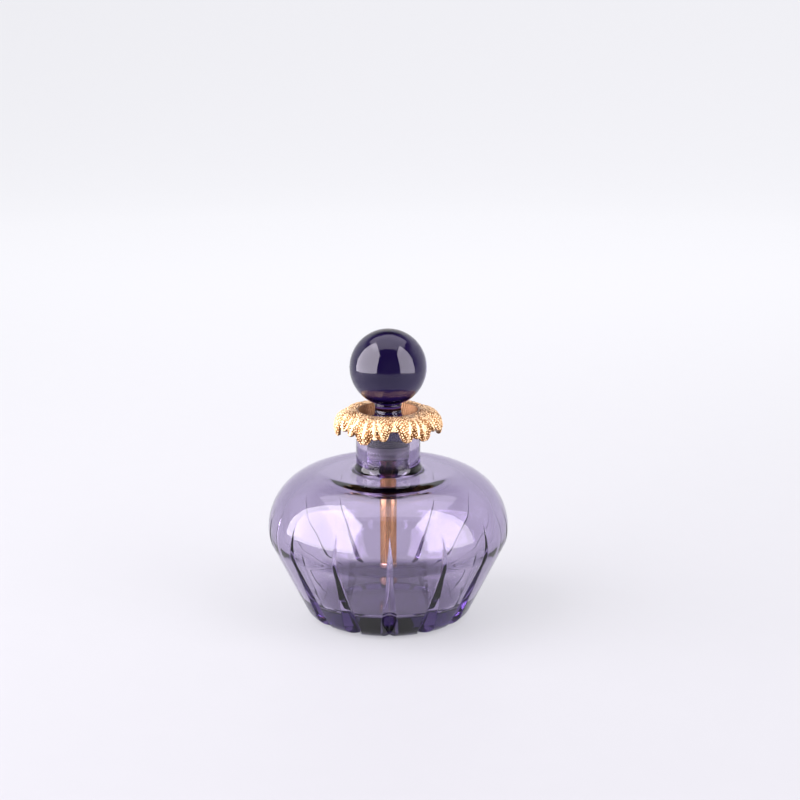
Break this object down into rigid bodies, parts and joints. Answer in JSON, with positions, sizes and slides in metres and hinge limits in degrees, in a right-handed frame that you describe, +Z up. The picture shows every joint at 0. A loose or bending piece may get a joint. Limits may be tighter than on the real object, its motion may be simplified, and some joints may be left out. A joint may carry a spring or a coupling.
{
  "type": "perfume bottle",
  "caption": "Fluted glass perfume bottle with a gilt leaf collar and a lift-out ball stopper that carries a dipper rod.",
  "frame": {"origin": "middle of the foot, where the bottle stands on the table", "axes": "+Z up the bottle's axis towards the ball stopper, -Y towards the front"},
  "size_m": [0.08, 0.08, 0.0973],
  "materials": {
    "bottle_glass": "polished violet glass",
    "cup_gilt": "gilt, satin",
    "leaf_gilt": "gilt, cast and burnished",
    "ball_glass": "polished deep violet glass",
    "plug_glass": "clear stem, ground plug",
    "ring_plastic": "frosted polyethylene",
    "rod_metal": "copper-toned gilt, polished",
    "tip_metal": "copper-toned gilt, polished"
  },
  "bodies": {
    "bottle_body": {"bottle": "bottle_glass", "collar_cup": "cup_gilt", "leaf_1": "leaf_gilt", "leaf_2": "leaf_gilt", "leaf_3": "leaf_gilt", "leaf_4": "leaf_gilt", "leaf_5": "leaf_gilt", "leaf_6": "leaf_gilt"},
    "seal": {"seal_ring": "ring_plastic"},
    "stopper": {"stopper_ball": "ball_glass", "stopper_plug": "plug_glass", "dipper_rod": "rod_metal", "dipper_tip": "tip_metal"}
  },
  "joints": [
    {"name": "stopper_lift", "type": "slide", "parent": "bottle_body", "child": "seal", "axis": [0, 0, 1], "range_m": [0, 0.065]},
    {"name": "stopper_twist", "type": "hinge", "parent": "seal", "child": "stopper", "pos_m": [0, 0, 0.057], "axis": [0, 0, 1], "continuous": true}
  ]
}
